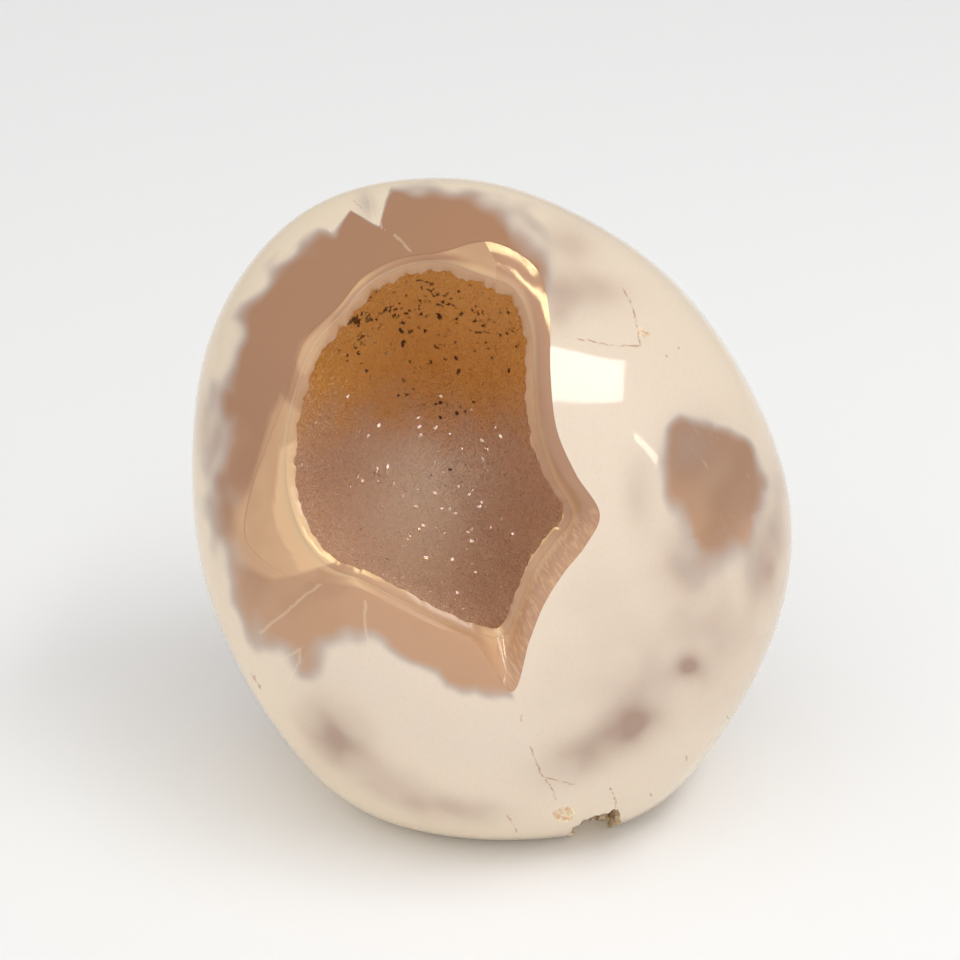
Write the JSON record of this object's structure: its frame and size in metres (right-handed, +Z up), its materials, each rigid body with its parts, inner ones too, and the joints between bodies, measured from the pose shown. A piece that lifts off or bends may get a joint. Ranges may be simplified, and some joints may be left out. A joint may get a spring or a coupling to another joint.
{
  "type": "agate geode freeform",
  "caption": "Hand-polished standing agate stone with a flat cut base and a hollow in its front lined with fine quartz crystals, for display on a shelf or table.",
  "frame": {"origin": "on the flat base, straight below the heart of the stone", "axes": "+Z up from the base, +X to the right of the hollow as one looks into it, the hollow opens towards -Y and 25 degrees upwards"},
  "size_m": [0.0836, 0.0768, 0.0831],
  "materials": {
    "agate": "polished, translucent at the edges, cream with tan patches",
    "quartz_druse": "glittering small crystal faces, golden brown"
  },
  "bodies": {
    "root": {"agate_stone": "agate", "crystal_crust": "quartz_druse"}
  },
  "joints": []
}
